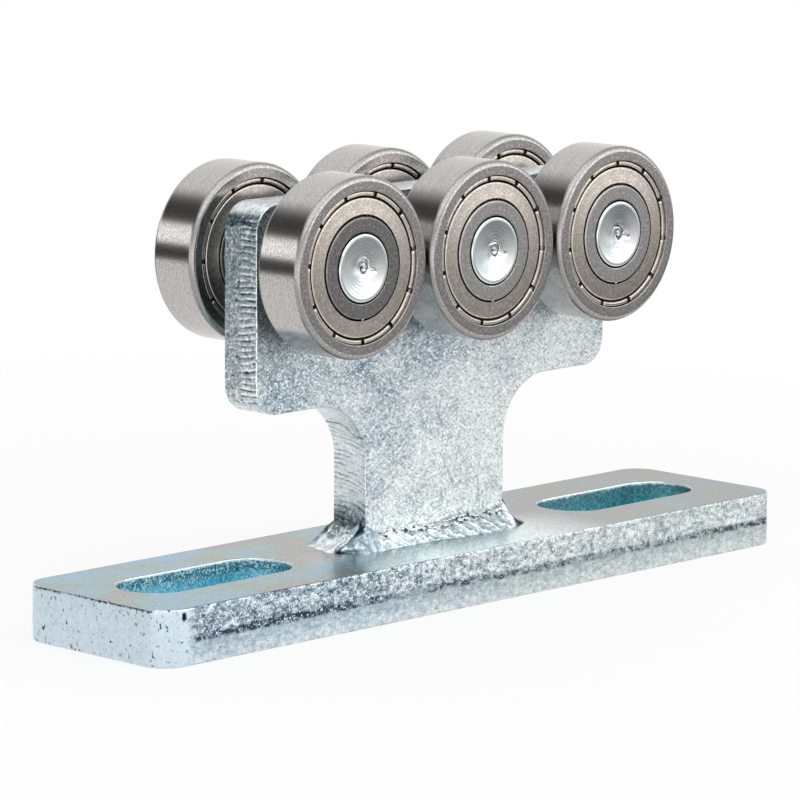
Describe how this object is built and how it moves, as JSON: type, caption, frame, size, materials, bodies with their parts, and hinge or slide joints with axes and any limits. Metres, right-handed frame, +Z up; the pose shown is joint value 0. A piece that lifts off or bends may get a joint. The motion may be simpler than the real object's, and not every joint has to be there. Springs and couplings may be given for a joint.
{
  "type": "track trolley",
  "caption": "Track trolley: a tee hanger plate welded upright on a slotted base bar, with shielded ball bearings on cross axles as its wheels.",
  "frame": {"origin": "middle of the base bar's underside", "axes": "+X along the bar and the row of wheels, +Y along the axles, +Z up from the bar to the wheels"},
  "size_m": [0.16, 0.0364, 0.0795],
  "materials": {
    "base_zinc": "zinc plated, clear passivated, satin",
    "plate_zinc": "zinc plated, blue passivated, fine crystalline speckle",
    "weld_metal": "zinc plated weld metal, bright",
    "axle_zinc": "zinc plated, turned",
    "spacer_zinc": "zinc plated, turned",
    "inner_ring_steel": "ground bearing steel",
    "outer_ring_steel": "ground and honed bearing steel",
    "shield_steel": "pressed sheet steel, satin",
    "cage_polyamide": "natural moulded polyamide",
    "ball_steel": "polished bearing steel"
  },
  "bodies": {
    "root": {"base_plate": "base_zinc", "hanger_plate": "plate_zinc", "weld_bead": "weld_metal", "axle_left": "axle_zinc", "axle_middle": "axle_zinc", "axle_right": "axle_zinc", "spacer_front_left": "spacer_zinc", "inner_ring_front_left": "inner_ring_steel", "spacer_front_middle": "spacer_zinc", "inner_ring_front_middle": "inner_ring_steel", "spacer_front_right": "spacer_zinc", "inner_ring_front_right": "inner_ring_steel", "spacer_back_left": "spacer_zinc", "inner_ring_back_left": "inner_ring_steel", "spacer_back_middle": "spacer_zinc", "inner_ring_back_middle": "inner_ring_steel", "spacer_back_right": "spacer_zinc", "inner_ring_back_right": "inner_ring_steel"},
    "wheel_front_left": {"outer_ring_front_left": "outer_ring_steel", "outboard_shield_front_left": "shield_steel", "inboard_shield_front_left": "shield_steel"},
    "ball_set_front_left": {"cage_front_left": "cage_polyamide", "balls_front_left": "ball_steel"},
    "wheel_front_middle": {"outer_ring_front_middle": "outer_ring_steel", "outboard_shield_front_middle": "shield_steel", "inboard_shield_front_middle": "shield_steel"},
    "ball_set_front_middle": {"cage_front_middle": "cage_polyamide", "balls_front_middle": "ball_steel"},
    "wheel_front_right": {"outer_ring_front_right": "outer_ring_steel", "outboard_shield_front_right": "shield_steel", "inboard_shield_front_right": "shield_steel"},
    "ball_set_front_right": {"cage_front_right": "cage_polyamide", "balls_front_right": "ball_steel"},
    "wheel_back_left": {"outer_ring_back_left": "outer_ring_steel", "outboard_shield_back_left": "shield_steel", "inboard_shield_back_left": "shield_steel"},
    "ball_set_back_left": {"cage_back_left": "cage_polyamide", "balls_back_left": "ball_steel"},
    "wheel_back_middle": {"outer_ring_back_middle": "outer_ring_steel", "outboard_shield_back_middle": "shield_steel", "inboard_shield_back_middle": "shield_steel"},
    "ball_set_back_middle": {"cage_back_middle": "cage_polyamide", "balls_back_middle": "ball_steel"},
    "wheel_back_right": {"outer_ring_back_right": "outer_ring_steel", "outboard_shield_back_right": "shield_steel", "inboard_shield_back_right": "shield_steel"},
    "ball_set_back_right": {"cage_back_right": "cage_polyamide", "balls_back_right": "ball_steel"}
  },
  "joints": [
    {"name": "wheel_front_left_spin", "type": "hinge", "parent": "root", "child": "wheel_front_left", "pos_m": [-0.033, -0.013, 0.0635], "axis": [0, 1, 0], "continuous": true},
    {"name": "ball_set_front_left_spin", "type": "hinge", "parent": "root", "child": "ball_set_front_left", "pos_m": [-0.033, -0.013, 0.0635], "axis": [0, 1, 0], "continuous": true},
    {"name": "wheel_front_middle_spin", "type": "hinge", "parent": "root", "child": "wheel_front_middle", "pos_m": [0, -0.013, 0.0635], "axis": [0, 1, 0], "continuous": true},
    {"name": "ball_set_front_middle_spin", "type": "hinge", "parent": "root", "child": "ball_set_front_middle", "pos_m": [0, -0.013, 0.0635], "axis": [0, 1, 0], "continuous": true},
    {"name": "wheel_front_right_spin", "type": "hinge", "parent": "root", "child": "wheel_front_right", "pos_m": [0.033, -0.013, 0.0635], "axis": [0, 1, 0], "continuous": true},
    {"name": "ball_set_front_right_spin", "type": "hinge", "parent": "root", "child": "ball_set_front_right", "pos_m": [0.033, -0.013, 0.0635], "axis": [0, 1, 0], "continuous": true},
    {"name": "wheel_back_left_spin", "type": "hinge", "parent": "root", "child": "wheel_back_left", "pos_m": [-0.033, 0.013, 0.0635], "axis": [0, 1, 0], "continuous": true},
    {"name": "ball_set_back_left_spin", "type": "hinge", "parent": "root", "child": "ball_set_back_left", "pos_m": [-0.033, 0.013, 0.0635], "axis": [0, 1, 0], "continuous": true},
    {"name": "wheel_back_middle_spin", "type": "hinge", "parent": "root", "child": "wheel_back_middle", "pos_m": [0, 0.013, 0.0635], "axis": [0, 1, 0], "continuous": true},
    {"name": "ball_set_back_middle_spin", "type": "hinge", "parent": "root", "child": "ball_set_back_middle", "pos_m": [0, 0.013, 0.0635], "axis": [0, 1, 0], "continuous": true},
    {"name": "wheel_back_right_spin", "type": "hinge", "parent": "root", "child": "wheel_back_right", "pos_m": [0.033, 0.013, 0.0635], "axis": [0, 1, 0], "continuous": true},
    {"name": "ball_set_back_right_spin", "type": "hinge", "parent": "root", "child": "ball_set_back_right", "pos_m": [0.033, 0.013, 0.0635], "axis": [0, 1, 0], "continuous": true}
  ],
  "couplings": [
    {"joint": "ball_set_front_left_spin", "follows": "wheel_front_left_spin", "ratio": 0.63523},
    {"joint": "ball_set_front_middle_spin", "follows": "wheel_front_middle_spin", "ratio": 0.63523},
    {"joint": "ball_set_front_right_spin", "follows": "wheel_front_right_spin", "ratio": 0.63523},
    {"joint": "ball_set_back_left_spin", "follows": "wheel_back_left_spin", "ratio": 0.63523},
    {"joint": "ball_set_back_middle_spin", "follows": "wheel_back_middle_spin", "ratio": 0.63523},
    {"joint": "ball_set_back_right_spin", "follows": "wheel_back_right_spin", "ratio": 0.63523}
  ]
}
